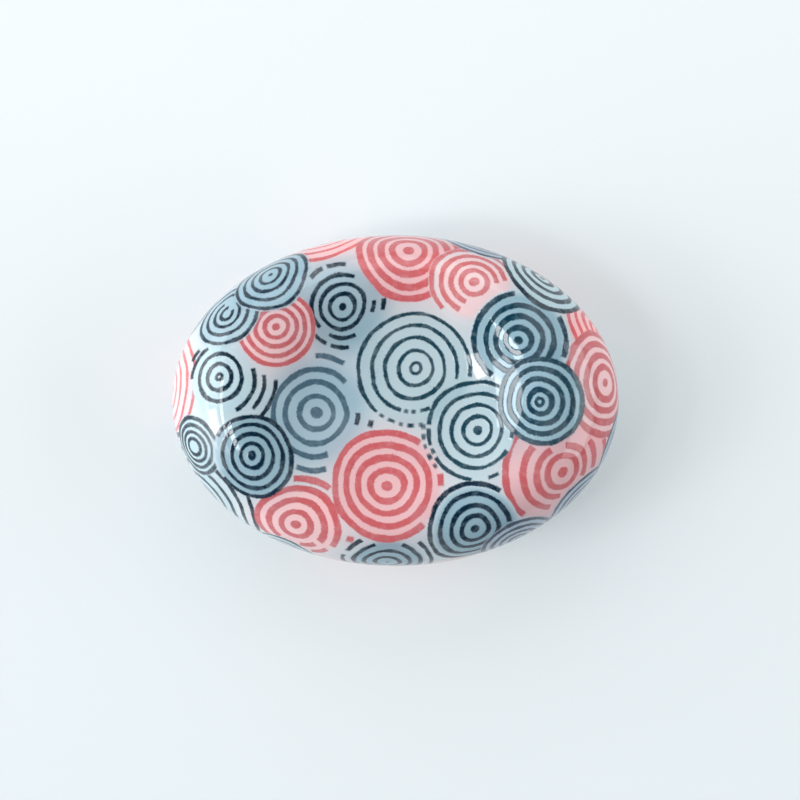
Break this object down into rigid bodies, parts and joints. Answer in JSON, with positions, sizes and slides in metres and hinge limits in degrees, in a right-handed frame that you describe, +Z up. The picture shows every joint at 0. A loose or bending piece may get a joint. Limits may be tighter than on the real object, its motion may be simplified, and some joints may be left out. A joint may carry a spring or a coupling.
{
  "type": "chopstick rest",
  "caption": "Small oval pebble of glazed porcelain with a shallow dip in its top that keeps chopstick tips off the table.",
  "frame": {"origin": "middle of the resting plane, under the middle of the pebble", "axes": "+X along the pebble's length, +Y across it, +Z up out of the dip"},
  "size_m": [0.044, 0.0326, 0.0145],
  "materials": {
    "bare_porcelain": "unglazed, fine and matt",
    "ring_print": "indigo and coral ring motifs with pale washes, printed under the glaze",
    "clear_glaze": "clear, glossy, faintly cool",
    "base_glaze": "clear, glossy, over plain white"
  },
  "bodies": {
    "root": {"porcelain_body": "bare_porcelain", "transfer_print": "ring_print", "outer_glaze": "clear_glaze", "base_glaze": "base_glaze"}
  },
  "joints": []
}
